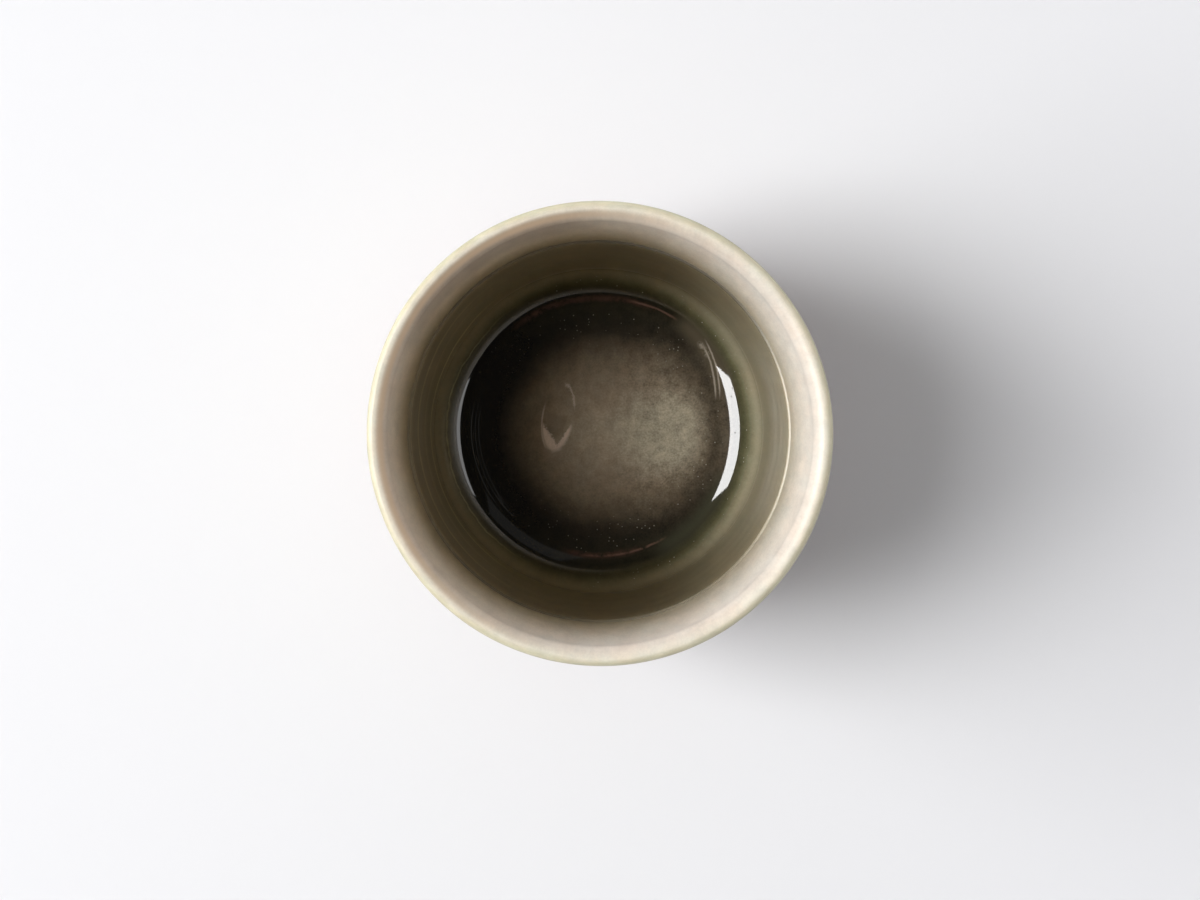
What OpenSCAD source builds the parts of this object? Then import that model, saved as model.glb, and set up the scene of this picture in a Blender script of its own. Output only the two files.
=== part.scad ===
// Yunomi tea cup: a thrown clay body on a foot ring luted on with slip, under three coats of glaze.
// Millimetres, +Z up. The origin is on the cup's axis, on the plane that the foot ring stands on.

/* [Overall] */
// Height from the table to the top of the glazed lip
cup_h = 88; // [76:1:104]
// Outside diameter at the lip, over the glaze
lip_d = 80; // [74:1:96]

/* [Clay body] */
// Thickness of the clay at the lip
lip_t = 2.4; // [1.8:0.1:3.4]
// Radius of the clay lip from its crest to the outside
lip_out_r = 0.6; // [0.4:0.1:0.9]
// Outside diameter of the clay at the widest part of the heel
heel_d = 74; // [68:1:88]
// Outside radius of the heel, from the wall to the underside
heel_r = 10; // [7:0.5:14]
// Thickness of the clay wall at the heel
wall_t = 3.8; // [3:0.1:5.2]
// Thickness of the clay floor
floor_t = 4.2; // [3.4:0.1:6]
// Inside radius of the corner between the wall and the floor
corner_r = 7.8; // [6:0.2:11]
// Radius of the dished edge of the floor
dish_r = 15.8; // [12:0.2:22]
// Slope of the dished edge where the corner takes over, in degrees
dish_a = 22; // [12:1:30]

/* [Throwing rings] */
// Height from one throwing ring to the next
ring_pitch = 7; // [5:0.5:12]
// How far a throwing ring stands out of the wall
ring_rise = 0.16; // [0.05:0.01:0.3]

/* [Foot ring] */
// How far the foot ring is set in from the edge of the flat underside
foot_set = 2; // [1:0.1:5]
// Width of the foot ring, from its outer face to its inner face
foot_w = 5; // [3.5:0.1:8]
// Height of the foot ring
foot_h = 4.6; // [4:0.1:8]
// Radius on the two lower edges of the foot ring
foot_edge_r = 0.9; // [0.3:0.1:1.5]

/* [Luting slip] */
// Thickness of the slip between the foot ring and the body
slip_t = 0.4; // [0.2:0.1:0.8]
// Size of the bead of slip pressed out at each side of the foot ring
slip_bead = 1.2; // [0.6:0.1:2]

/* [Glaze coats] */
// Thickness of the dark glaze that lines the cup
inner_glaze_t = 0.8; // [0.5:0.05:1.2]
// Radius on the upper edge of the dark glaze
ledge_r = 0.3; // [0.1:0.05:0.4]
// Thickness of the pale glaze on the lip
rim_glaze_t = 0.5; // [0.3:0.05:0.8]
// How far the pale glaze runs down the inside wall
rim_dip_in = 30; // [12:1:44]
// How far the pale glaze runs down the outside wall
rim_dip_out = 15; // [6:1:34]
// Thickness of the glaze on the outside wall
outer_glaze_t = 0.6; // [0.3:0.05:1]
// Height of bare clay wall between the heel and the outside glaze
bare_h = 5; // [1:0.5:16]
// How far the rolled lower edge of the outside glaze stands out of its coat
roll_rise = 0.5; // [0.2:0.05:1]

/* [Hidden] */
$fn = 128;

// Straight steps that stand for each arc of an outline, and for each throwing ring
arc_steps = 10;
ring_steps = 6;

// Heights of the underside and of the clay floor
underside_z = foot_h + slip_t;
floor_z = underside_z + floor_t;

// The foot ring's outer and inner radius, and the slip's bead, which stays on the flat underside
foot_ro = heel_d / 2 - heel_r - foot_set;
foot_ri = foot_ro - foot_w;
bead = min(slip_bead, foot_set);

// The rounds of the outline: the two of the lip, which meet at its crest, the heel, and the floor's
// dish and corner
lip_in_r = lip_t - lip_out_r;
crest = [lip_d / 2 - rim_glaze_t - lip_out_r, cup_h - rim_glaze_t];
lip_in_c = crest - [0, lip_in_r];
lip_out_c = crest - [0, lip_out_r];
heel_c = [heel_d / 2 - heel_r, underside_z + heel_r];
dish_past_corner = (dish_r - corner_r) * sin(dish_a);
floor_edge_r = heel_d / 2 - wall_t - corner_r - dish_past_corner;
dish_c = [floor_edge_r, floor_z + dish_r];
corner_c = dish_c + (dish_r - corner_r) * direction(dish_a - 90);

// Each straight wall touches two rounds. Its outward normal and its upward run follow from them.
inner_a = touch_angle(corner_c, corner_r, lip_in_c, -lip_in_r);
outer_a = touch_angle(heel_c, heel_r, lip_out_c, lip_out_r);
inner_n = direction(inner_a);
outer_n = direction(outer_a);
inner_up = direction(inner_a + 90);
outer_up = direction(outer_a + 90);

// Angle of the outward normal of the line that touches two circles. A radius is negative where its
// circle lies outside the line.
function touch_angle(c1, r1, c2, r2) =
    let (gap = c2 - c1) atan2(gap.y, gap.x) - acos((r1 - r2) / norm(gap));

function direction(a) = [cos(a), sin(a)];
function reverse(points) = [for (i = [len(points) - 1:-1:0]) points[i]];
function tail(points) = [for (i = [1:1:len(points) - 1]) points[i]];
function arc(c, r, from, to) =
    [for (i = [0:arc_steps]) c + r * direction(from + (to - from) * i / arc_steps)];

// A straight wall from p to q that swells towards the axis at each throwing ring. Its ends stay in place.
function thrown(p, q, normal) =
    let (rings = max(1, round(norm(q - p) / ring_pitch)), steps = rings * ring_steps)
    [for (i = [0:steps]) p + (q - p) * i / steps - ring_swell(360 * i / ring_steps) * normal];
function ring_swell(turn) = ring_rise * (1 - cos(turn)) / 2;

// Places on the walls, each at the face of a coat of that thickness. A coat of 0 is the clay.
function inner_foot(coat) = corner_c + (corner_r - coat) * inner_n;
function inner_top(coat) = lip_in_c - (lip_in_r + coat) * inner_n;
function inner_join(coat) = inner_top(coat) - rim_dip_in * inner_up;
function outer_top(coat) = lip_out_c + (lip_out_r + coat) * outer_n;
function outer_join(coat) = outer_top(coat) - rim_dip_out * outer_up;
function outer_foot(coat) = heel_c + (heel_r + coat) * outer_n;
outer_line = outer_foot(0) + bare_h * outer_up;

// The faces of the cup in order, from the middle of the floor to the middle of the underside.
function floor_path(coat) = concat(
    [[0, floor_z + coat]],
    arc(dish_c, dish_r - coat, -90, dish_a - 90),
    tail(arc(corner_c, corner_r - coat, dish_a - 90, inner_a)));
function lining_path(coat, top) = concat(
    floor_path(coat),
    tail(thrown(inner_foot(coat), top, inner_n)));
function rim_path(coat) = concat(
    thrown(inner_join(coat), inner_top(coat), inner_n),
    tail(arc(lip_in_c, lip_in_r + coat, inner_a + 180, 90)),
    tail(arc(lip_out_c, lip_out_r + coat, 90, outer_a)),
    tail(thrown(outer_top(coat), outer_join(coat), outer_n)));
function bare_path() = concat(
    thrown(outer_line, outer_foot(0), outer_n),
    tail(arc(heel_c, heel_r, outer_a, -90)),
    [[0, underside_z]]);

// A coat of glaze is turned from the outline of its face and of the clay behind it.
module coat_of_glaze(face, back) {
    rotate_extrude()
        polygon(concat(face, reverse(back)));
}

// The thrown wall and floor, one piece of clay.
module clay_body() {
    color("#9a6a4d")
        rotate_extrude()
            polygon(concat(
                lining_path(0, inner_join(0)),
                tail(rim_path(0)),
                tail(thrown(outer_join(0), outer_line, outer_n)),
                tail(bare_path())));
}

// The ring that the cup stands on, turned on its own and luted to the underside.
module foot_ring() {
    color("#8f6047")
        rotate_extrude()
            polygon(concat(
                [[foot_ri, foot_h]],
                arc([foot_ri + foot_edge_r, foot_edge_r], foot_edge_r, 180, 270),
                arc([foot_ro - foot_edge_r, foot_edge_r], foot_edge_r, 270, 360),
                [[foot_ro, foot_h]]));
}

// The slip that joins the foot ring to the body, with the bead that it leaves on each side.
module luting_slip() {
    color("#a87a5c")
        rotate_extrude()
            polygon([
                [foot_ri, foot_h],
                [foot_ro, foot_h],
                [foot_ro, foot_h - bead],
                [foot_ro + bead, underside_z],
                [foot_ri - bead, underside_z],
                [foot_ri, foot_h - bead]]);
}

// The dark glaze on the floor and the lower wall. Its upper edge is a small rounded ledge.
module inner_glaze() {
    edge = inner_join(inner_glaze_t) - ledge_r * inner_up;
    ledge_c = inner_join(inner_glaze_t - ledge_r) - ledge_r * inner_up;
    color("#4f4836")
        coat_of_glaze(
            concat(
                lining_path(inner_glaze_t, edge),
                tail(arc(ledge_c, ledge_r, inner_a + 180, inner_a + 90))),
            lining_path(0, inner_join(0)));
}

// The pale glaze that the lip was dipped in, inside and outside.
module rim_glaze() {
    color("#e9dfc9")
        coat_of_glaze(rim_path(rim_glaze_t), rim_path(0));
}

// The glaze on the outside wall. It ends in a rolled edge above the bare heel.
module outer_glaze() {
    roll_r = outer_glaze_t + roll_rise;
    roll_c = outer_line + roll_r * outer_up;
    roll_top_a = outer_a + acos(outer_glaze_t / roll_r);
    roll = arc(roll_c, roll_r, roll_top_a, outer_a - 90);
    color("#a49b7c")
        coat_of_glaze(
            concat(thrown(outer_join(outer_glaze_t), roll[0], outer_n), tail(roll)),
            thrown(outer_join(0), outer_line, outer_n));
}

clay_body();
foot_ring();
luting_slip();
inner_glaze();
rim_glaze();
outer_glaze();
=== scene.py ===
import math

import bmesh
import bpy
import numpy as np
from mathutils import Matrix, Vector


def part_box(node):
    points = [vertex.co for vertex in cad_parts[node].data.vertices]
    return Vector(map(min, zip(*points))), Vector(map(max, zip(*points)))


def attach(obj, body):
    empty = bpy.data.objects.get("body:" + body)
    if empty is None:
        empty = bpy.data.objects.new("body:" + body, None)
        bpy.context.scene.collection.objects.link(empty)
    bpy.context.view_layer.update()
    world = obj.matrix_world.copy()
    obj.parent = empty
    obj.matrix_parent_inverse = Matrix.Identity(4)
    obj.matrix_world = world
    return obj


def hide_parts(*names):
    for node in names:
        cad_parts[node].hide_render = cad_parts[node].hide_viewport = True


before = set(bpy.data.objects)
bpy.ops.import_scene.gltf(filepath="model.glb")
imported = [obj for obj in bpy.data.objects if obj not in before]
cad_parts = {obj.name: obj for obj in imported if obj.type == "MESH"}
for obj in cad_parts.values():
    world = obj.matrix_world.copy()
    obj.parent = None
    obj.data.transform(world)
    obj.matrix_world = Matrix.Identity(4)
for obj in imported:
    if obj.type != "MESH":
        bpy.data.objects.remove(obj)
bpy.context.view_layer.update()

MM = 0.001

# Sizes read from the frame
CUP_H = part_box("rim_glaze")[1].z
LIP_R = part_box("rim_glaze")[1].x
CLAY_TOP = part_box("clay_body")[1].z
UNDERSIDE_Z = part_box("clay_body")[0].z
FLOOR_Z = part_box("inner_glaze")[0].z
FOOT_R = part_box("foot_ring")[1].x
FOOT_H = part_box("foot_ring")[1].z

# Sizes of the clay's section
LIP_T = 2.4 * MM
LIP_OUT = 0.6 * MM
LIP_IN = LIP_T - LIP_OUT
HEEL_R = 37 * MM
HEEL_ROUND = 10 * MM
WALL_T = 3.8 * MM
CORNER_ROUND = 7.8 * MM
DISH_ROUND = 15.8 * MM
DISH_SLOPE = 22
FOOT_W = 5 * MM
FOOT_EDGE = 0.9 * MM
SLIP_BEAD = 1.2 * MM

# Sizes of the glaze coats
RIM_T = CUP_H - CLAY_TOP
INNER_T = 0.8 * MM
OUTER_T = 0.6 * MM
RIM_DIP_IN = 30 * MM
RIM_DIP_OUT = 15 * MM
BARE_H = 5 * MM
ROLL_RISE = 0.5 * MM
ROLL_SWELL = 3.2 * MM
# How far below the join the outside glaze has its full thickness
JOIN_BLEND = 4 * MM
# How far from an end the point is that holds the shading
END_HOLD = 0.02 * MM
# The shoulder at the top of the dark glaze: how far it stands out of the coat, and how high it is
SHOULDER_RISE = 0.15 * MM
SHOULDER_H = 0.45 * MM
# How far below the join the dark glaze starts to swell towards its shoulder
SHOULDER_SWELL = 2.5 * MM

# How the wheel and the hand leave their marks
SEGMENTS = 288
THROWING_PITCH = 7 * MM
RING_DEPTH = 0.16 * MM
INSIDE_PITCH = 8.5 * MM
INSIDE_RING_DEPTH = 0.055 * MM
TURNING_PITCH = 1.7 * MM
TURNING_DEPTH = 0.09 * MM
FOOT_TURNING_DEPTH = 0.05 * MM
OUT_OF_ROUND = 0.10 * MM
HAND_DEPTH = 0.12 * MM
EDGE_DRIFT = 2.4 * MM
# A fine bead of glaze round one side of the edge of the floor
BEAD_AT = 24.3 * MM
BEAD_W = 1.5 * MM
BEAD_RISE = 0.115 * MM
BEAD_TURN = 190
# These make the bead's share, cut at 0 and 1, from the cosine of the angle from the middle of its side
BEAD_GAIN = 6.0
BEAD_CUT = -4.7
# The inside corner leans inwards on one side. The lean starts and is full at two cosines of the angle
# from the middle of that side.
CORNER_LEAN = 0.8 * MM
LEAN_START = 14 * MM
LEAN_TURN = 115
LEAN_COSINES = (0.42, 0.94)
# Noise of the wheel and the hand: scale, detail and what is added to the seed
RING_NOISE = (60.0, 1.0, 3.0)
HAND_NOISE = (45.0, 2.0, 0.0)
DRIFT_NOISE = (1.6, 3.0, 7.0)
BEAD_NOISE = (5.0, 2.0, 11.0)
# Points closer than this become one
MERGE_DISTANCE = 0.002 * MM


# Outlines: a point is (radius, height), and each face runs with the open air on its left

def smoothstep(low, high, value):
    t = np.clip((np.asarray(value) - low) / (high - low), 0, 1)
    return t * t * (3 - 2 * t)


def direction(angle):
    return np.array((math.cos(math.radians(angle)), math.sin(math.radians(angle))))


def arc(centre, radius, start, end, steps):
    """An arc, or a part of an ellipse where the radius has two values."""
    return [centre + radius * direction(a) for a in np.linspace(start, end, steps + 1)]


def line(start, end, steps):
    return [start + (end - start) * t for t in np.linspace(0, 1, steps + 1)]


def held(path):
    """A path with a point close to each end that is off the axis, so that smooth shading stops there."""
    first, last = path[0], path[-1]
    near_first = first + END_HOLD * (path[1] - first) / np.linalg.norm(path[1] - first)
    near_last = last + END_HOLD * (path[-2] - last) / np.linalg.norm(path[-2] - last)
    inside = ([near_first] if first[0] > MM else []) + path[1:-1] + ([near_last] if last[0] > MM else [])
    return [first] + inside + [last]


def touch_angle(c1, r1, c2, r2):
    """Angle of the outward normal of the line that touches two circles, as in the solids."""
    gap = c2 - c1
    return math.degrees(math.atan2(gap[1], gap[0]) - math.acos((r1 - r2) / np.linalg.norm(gap)))


# The rounds of the section and the two straight walls that touch them
CREST = np.array((LIP_R - RIM_T - LIP_OUT, CLAY_TOP))
LIP_IN_C = CREST - (0, LIP_IN)
LIP_OUT_C = CREST - (0, LIP_OUT)
HEEL_C = np.array((HEEL_R - HEEL_ROUND, UNDERSIDE_Z + HEEL_ROUND))
DISH_REACH = DISH_ROUND - CORNER_ROUND
FLOOR_EDGE = HEEL_R - WALL_T - CORNER_ROUND - DISH_REACH * math.sin(math.radians(DISH_SLOPE))
DISH_C = np.array((FLOOR_EDGE, FLOOR_Z + DISH_ROUND))
CORNER_C = DISH_C + DISH_REACH * direction(DISH_SLOPE - 90)
INNER_A = touch_angle(CORNER_C, CORNER_ROUND, LIP_IN_C, -LIP_IN)
OUTER_A = touch_angle(HEEL_C, HEEL_ROUND, LIP_OUT_C, LIP_OUT)
INNER_UP = direction(INNER_A + 90)
OUTER_UP = direction(OUTER_A + 90)


def inner_foot(coat):
    return CORNER_C + (CORNER_ROUND - coat) * direction(INNER_A)


def inner_top(coat):
    return LIP_IN_C - (LIP_IN + coat) * direction(INNER_A)


def inner_join(coat):
    return inner_top(coat) - RIM_DIP_IN * INNER_UP


def outer_top(coat):
    return LIP_OUT_C + (LIP_OUT + coat) * direction(OUTER_A)


def outer_join(coat):
    return outer_top(coat) - RIM_DIP_OUT * OUTER_UP


def outer_foot(coat):
    return HEEL_C + (HEEL_ROUND + coat) * direction(OUTER_A)


GLAZE_LINE = outer_foot(0) + BARE_H * OUTER_UP


def floor_path(coat, fine):
    """The floor, its dished edge and the corner, from the axis outwards."""
    middle = np.array((0, FLOOR_Z + coat))
    edge = np.array((FLOOR_EDGE, FLOOR_Z + coat))
    return (line(middle, edge, 10 * fine)
            + arc(DISH_C, DISH_ROUND - coat, -90, DISH_SLOPE - 90, 10 * fine)[1:]
            + arc(CORNER_C, CORNER_ROUND - coat, DISH_SLOPE - 90, INNER_A, 8 * fine)[1:])


def rim_path(coat, fine):
    """Up the inside from the join, over the lip and down the outside."""
    return (line(inner_join(coat), inner_top(coat), 15 * fine)
            + arc(LIP_IN_C, LIP_IN + coat, INNER_A + 180, 90, 6 * fine)[1:]
            + arc(LIP_OUT_C, LIP_OUT + coat, 90, OUTER_A, 5 * fine)[1:]
            + line(outer_top(coat), outer_join(coat), 8 * fine)[1:])


def clay_lining():
    return floor_path(0, 1) + line(inner_foot(0), inner_join(0), 20)[1:]


def inner_glaze_path():
    depth = INNER_T + SHOULDER_RISE
    shoulder_c = inner_join(0) - SHOULDER_H * INNER_UP
    inwards = direction(INNER_A + 180)
    shoulder = [shoulder_c + depth * math.cos(t) * inwards + SHOULDER_H * math.sin(t) * INNER_UP
                for t in np.linspace(0, math.pi / 2, 13)]
    swell = line(inner_join(INNER_T) - SHOULDER_SWELL * INNER_UP, shoulder[0], 8)
    wall = line(inner_foot(INNER_T), swell[0], 84)
    return floor_path(INNER_T, 4) + wall[1:] + swell[1:] + shoulder[1:], clay_lining()


def rim_glaze_path():
    return rim_path(RIM_T, 4), rim_path(0, 1)


def outer_glaze_path():
    """The outside coat, which swells towards its lower edge and rolls under there."""
    roll_r = OUTER_T + ROLL_RISE
    roll = arc(GLAZE_LINE + roll_r * OUTER_UP, roll_r, OUTER_A, OUTER_A - 90, 12)
    outwards = direction(OUTER_A)
    swell = [roll[0] + ROLL_SWELL * t * OUTER_UP - ROLL_RISE * smoothstep(0, 1, t) * outwards
             for t in np.linspace(1, 0, 13)]
    full = outer_join(OUTER_T) - JOIN_BLEND * OUTER_UP
    wall = line(outer_join(RIM_T), full, 6) + line(full, swell[0], 84)[1:]
    return wall + swell[1:] + roll[1:], line(outer_join(0), GLAZE_LINE, 12)


def clay_path():
    return (clay_lining() + rim_path(0, 1)[1:]
            + line(outer_join(0), GLAZE_LINE, 12)[1:]
            + line(GLAZE_LINE, outer_foot(0), 16)[1:]
            + arc(HEEL_C, HEEL_ROUND, OUTER_A, -90, 40)[1:]
            + line(HEEL_C - (0, HEEL_ROUND), np.array((0, UNDERSIDE_Z)), 80)[1:]), []


def foot_path():
    inside, outside = FOOT_R - FOOT_W, FOOT_R
    out_c = np.array((outside - FOOT_EDGE, FOOT_EDGE))
    in_c = np.array((inside + FOOT_EDGE, FOOT_EDGE))
    out_edge = arc(out_c, FOOT_EDGE, 360, 270, 10)
    in_edge = arc(in_c, FOOT_EDGE, 270, 180, 10)
    face = (line(np.array((outside, FOOT_H)), out_edge[0], 14) + out_edge[1:]
            + line(out_edge[-1], in_edge[0], 12)[1:] + in_edge[1:]
            + line(in_edge[-1], np.array((inside, FOOT_H)), 14)[1:])
    return face, line(face[0], face[-1], 4)


def slip_path():
    """Each bead is a hollow round between the side of the ring and the underside."""
    inside, outside = FOOT_R - FOOT_W, FOOT_R
    low = FOOT_H - SLIP_BEAD
    bead = np.array((SLIP_BEAD, UNDERSIDE_Z - low))
    out_bead = arc(np.array((outside + SLIP_BEAD, low)), bead, 90, 180, 8)
    in_bead = arc(np.array((inside - SLIP_BEAD, low)), bead, 0, 90, 8)
    seat = line(np.array((outside, FOOT_H)), np.array((inside, FOOT_H)), 4)
    return out_bead + seat + in_bead, line(out_bead[0], in_bead[-1], 8)


# Node building

def add(tree, kind, values=None, **settings):
    """A node with its settings, and with each named input linked or set."""
    node = tree.nodes.new(kind)
    for name, value in settings.items():
        setattr(node, name, value)
    for name, value in (values or {}).items():
        if isinstance(value, bpy.types.NodeSocket):
            tree.links.new(value, node.inputs[name])
        else:
            node.inputs[name].default_value = value
    return node


def calc(tree, operation, first, second=0.0, third=0.0):
    return add(tree, "ShaderNodeMath", {0: first, 1: second, 2: third}, operation=operation).outputs[0]


def times(tree, first, *others):
    for other in others:
        first = calc(tree, "MULTIPLY", first, other)
    return first


def most(tree, first, *others):
    for other in others:
        first = calc(tree, "MAXIMUM", first, other)
    return first


def split(tree, vector):
    return add(tree, "ShaderNodeSeparateXYZ", {0: vector}).outputs


def fade(tree, value, start, end, low=0.0, high=1.0):
    """Goes softly from low at start to high at end."""
    node = add(tree, "ShaderNodeMapRange",
               {"Value": value, "From Min": start, "From Max": end, "To Min": low, "To Max": high},
               interpolation_type="SMOOTHSTEP")
    return node.outputs[0]


def sockets(tree, inputs, outputs):
    """Names the sockets of a node group, each with the kind that follows it."""
    for way, names in (("INPUT", inputs), ("OUTPUT", outputs)):
        for name, kind in names:
            tree.interface.new_socket(name, in_out=way, socket_type="NodeSocket" + kind)
    return add(tree, "NodeGroupInput").outputs


def turned_tree():
    """Turns an outline about the axis, with wheel marks, a hand's unevenness and drifting edges."""
    tree = bpy.data.node_groups.new("turned_on_the_wheel", "GeometryNodeTree")
    given = sockets(tree, (("Outline", "Geometry"), ("Segments", "Int"), ("Ring Pitch", "Float"),
                           ("Ring Depth", "Float"), ("Out Of Round", "Float"), ("Hand Depth", "Float"),
                           ("Edge Drift", "Float"), ("Bead Rise", "Float"), ("Corner Lean", "Float"),
                           ("Seed", "Float"), ("Material", "Material")),
                    (("Piece", "Geometry"),))
    outline = given["Outline"]

    # One row of the grid for each point of the outline, and one column for each step of the turn
    rows = add(tree, "GeometryNodeAttributeDomainSize", {"Geometry": outline}).outputs["Point Count"]
    columns = calc(tree, "ADD", given["Segments"], 1)
    grid = add(tree, "GeometryNodeMeshGrid",
               {"Size X": 1.0, "Size Y": 1.0, "Vertices X": rows, "Vertices Y": columns}).outputs["Mesh"]
    place = split(tree, add(tree, "GeometryNodeInputPosition").outputs[0])
    row = calc(tree, "ROUND", times(tree, calc(tree, "ADD", place["X"], 0.5),
                                    calc(tree, "SUBTRACT", rows, 1)))
    turn = times(tree, calc(tree, "ADD", place["Y"], 0.5), 2 * math.pi)

    def of_outline(value, kind):
        sampled = add(tree, "GeometryNodeSampleIndex",
                      {"Geometry": outline, "Value": value, "Index": row}, data_type=kind)
        return sampled.outputs[0]

    def mark(name, kind="FLOAT"):
        value = add(tree, "GeometryNodeInputNamedAttribute", {"Name": name}, data_type=kind)
        return of_outline(value.outputs["Attribute"], kind)

    spot = of_outline(add(tree, "GeometryNodeInputPosition").outputs[0], "FLOAT_VECTOR")
    point = split(tree, spot)
    out = split(tree, mark("out", "FLOAT_VECTOR"))
    radius, height = point["X"], point["Z"]
    cosine, sine = calc(tree, "COSINE", turn), calc(tree, "SINE", turn)

    def turned_point(r, z):
        return add(tree, "ShaderNodeCombineXYZ",
                   {"X": times(tree, cosine, r), "Y": times(tree, sine, r), "Z": z}).outputs[0]

    def noise(vector, scale, detail, shift):
        texture = add(tree, "ShaderNodeTexNoise", {
            "Vector": vector, "W": calc(tree, "ADD", given["Seed"], shift),
            "Scale": scale, "Detail": detail}, noise_dimensions="4D")
        return calc(tree, "SUBTRACT", texture.outputs[0], 0.5)

    # The wheel's rings run as a spiral across the floor and up the walls, and come and go
    here = turned_point(radius, height)
    climb = calc(tree, "DIVIDE", calc(tree, "ADD", radius, height), given["Ring Pitch"])
    climb = calc(tree, "SUBTRACT", climb, calc(tree, "DIVIDE", turn, 2 * math.pi))
    swell = calc(tree, "COSINE", times(tree, climb, 2 * math.pi))
    strength = calc(tree, "ADD", noise(here, *RING_NOISE), 0.7)
    ring = times(tree, swell, strength, times(tree, mark("ring"), given["Ring Depth"]))
    loose = mark("loose")
    hand = times(tree, noise(here, *HAND_NOISE), times(tree, loose, given["Hand Depth"]))
    sway = times(tree, calc(tree, "COSINE", calc(tree, "MULTIPLY_ADD", turn, 2.0, given["Seed"])),
                 times(tree, loose, given["Out Of Round"]))
    circle = add(tree, "ShaderNodeCombineXYZ", {"X": cosine, "Y": sine}).outputs[0]
    drift = times(tree, noise(circle, *DRIFT_NOISE), times(tree, mark("drift"), given["Edge Drift"]))
    # The bead stands on one side, and the corner leans in on another
    bead_side = calc(tree, "COSINE", calc(tree, "SUBTRACT", turn, math.radians(BEAD_TURN)))
    bead_side = calc(tree, "MULTIPLY_ADD", bead_side, BEAD_GAIN, BEAD_CUT)
    bead_side = calc(tree, "MINIMUM", calc(tree, "MAXIMUM", bead_side, 0.0), 1.0)
    uneven = calc(tree, "MULTIPLY_ADD", noise(circle, *BEAD_NOISE), 1.2, 0.9)
    bead = times(tree, bead_side, uneven, times(tree, mark("bead"), given["Bead Rise"]))
    shift = calc(tree, "ADD", calc(tree, "ADD", ring, hand), bead)
    lean_side = calc(tree, "COSINE", calc(tree, "SUBTRACT", turn, math.radians(LEAN_TURN)))
    lean = times(tree, fade(tree, lean_side, *LEAN_COSINES), mark("lean"), given["Corner Lean"])
    new_radius = calc(tree, "ADD", calc(tree, "MULTIPLY_ADD", shift, out["X"], radius),
                      calc(tree, "SUBTRACT", sway, lean))
    new_height = calc(tree, "ADD", calc(tree, "MULTIPLY_ADD", shift, out["Z"], height), drift)

    marked = add(tree, "GeometryNodeStoreNamedAttribute",
                 {"Geometry": grid, "Name": "along", "Value": mark("along")},
                 data_type="FLOAT", domain="POINT").outputs[0]
    turned = add(tree, "GeometryNodeSetPosition",
                 {"Geometry": marked, "Position": turned_point(new_radius, new_height)}).outputs[0]
    closed = add(tree, "GeometryNodeMergeByDistance",
                 {"Geometry": turned, "Distance": MERGE_DISTANCE}).outputs[0]
    smooth = add(tree, "GeometryNodeSetShadeSmooth", {"Geometry": closed}).outputs[0]
    real = add(tree, "GeometryNodeRealizeInstances", {"Geometry": smooth}).outputs[0]
    done = add(tree, "GeometryNodeSetMaterial",
               {"Geometry": real, "Material": given["Material"]}).outputs[0]
    add(tree, "NodeGroupOutput", {"Piece": done})
    return tree


TURNED = turned_tree()


def lengths(path):
    """Distance along a path at each of its points."""
    return np.concatenate(([0], np.cumsum(np.linalg.norm(np.diff(path, axis=0), axis=1))))


def normals(path):
    run = np.gradient(np.array(path), axis=0)
    out = np.stack((-run[:, 1], np.zeros(len(path)), run[:, 0]), axis=1)
    return out / np.linalg.norm(out, axis=1, keepdims=True)


def turn_piece(name, paths, coat, start=0.0, ring=None, drift=None, bead=None, lean=None, **marks):
    """Turns one piece. Its along attribute is start at the first point and runs on down its face.
    Ring and drift give the share of the wheel's rings and of the drift for radii and heights. Bead
    and lean give the shape of the bead and the share of the lean for distances along."""
    face, back = paths
    face = held(face) if back else face
    along = start + lengths(face)
    points, out, reach = np.array(face), normals(face), along
    if back:
        points = np.concatenate((points, back[::-1], points[:1]))
        out = np.concatenate((out, normals(back)[::-1], out[:1]))
        reach = np.concatenate((along, np.linspace(along[-1], along[0], len(back)), along[:1]))
    radius, height = points[:, 0], points[:, 1]
    none = np.zeros(len(points))
    rows = {"along": reach, "loose": smoothstep(0, 20 * MM, radius),
            "ring": ring(radius, height) if ring else none,
            "drift": drift(radius, height) if drift else none,
            "bead": bead(reach) if bead else none, "lean": none.copy()}
    if lean:
        rows["lean"][:len(face)] = lean(along)

    mesh = bpy.data.meshes.new(name + "_outline")
    mesh.from_pydata([(r, 0, z) for r, z in points], [(i, i + 1) for i in range(len(points) - 1)], [])
    for key, values in rows.items():
        mesh.attributes.new(key, "FLOAT", "POINT").data.foreach_set("value", values.astype(np.float32))
    ways_out = mesh.attributes.new("out", "FLOAT_VECTOR", "POINT")
    ways_out.data.foreach_set("vector", out.astype(np.float32).ravel())
    outline = bpy.data.objects.new(name + "_outline", mesh)
    bpy.context.scene.collection.objects.link(outline)
    modifier = outline.modifiers.new("turned", "NODES")
    modifier.node_group = TURNED
    settings = {"Segments": SEGMENTS, "Ring Pitch": THROWING_PITCH, "Ring Depth": 0.0,
                "Out Of Round": OUT_OF_ROUND, "Hand Depth": HAND_DEPTH, "Edge Drift": 0.0,
                "Bead Rise": 0.0, "Corner Lean": 0.0, "Seed": 1.0, "Material": coat, **marks}
    for item in TURNED.interface.items_tree:
        if item.in_out == "INPUT" and item.name in settings:
            modifier[item.identifier] = settings[item.name]
    bpy.context.view_layer.update()
    graph = bpy.context.evaluated_depsgraph_get()
    made = bpy.data.meshes.new_from_object(outline.evaluated_get(graph))
    made.name = name
    bpy.data.objects.remove(outline)
    shape = bmesh.new()
    shape.from_mesh(made)
    bmesh.ops.recalc_face_normals(shape, faces=shape.faces)
    shape.to_mesh(made)
    shape.free()
    piece = bpy.data.objects.new(name, made)
    bpy.context.scene.collection.objects.link(piece)
    return piece


# Material building

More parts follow.
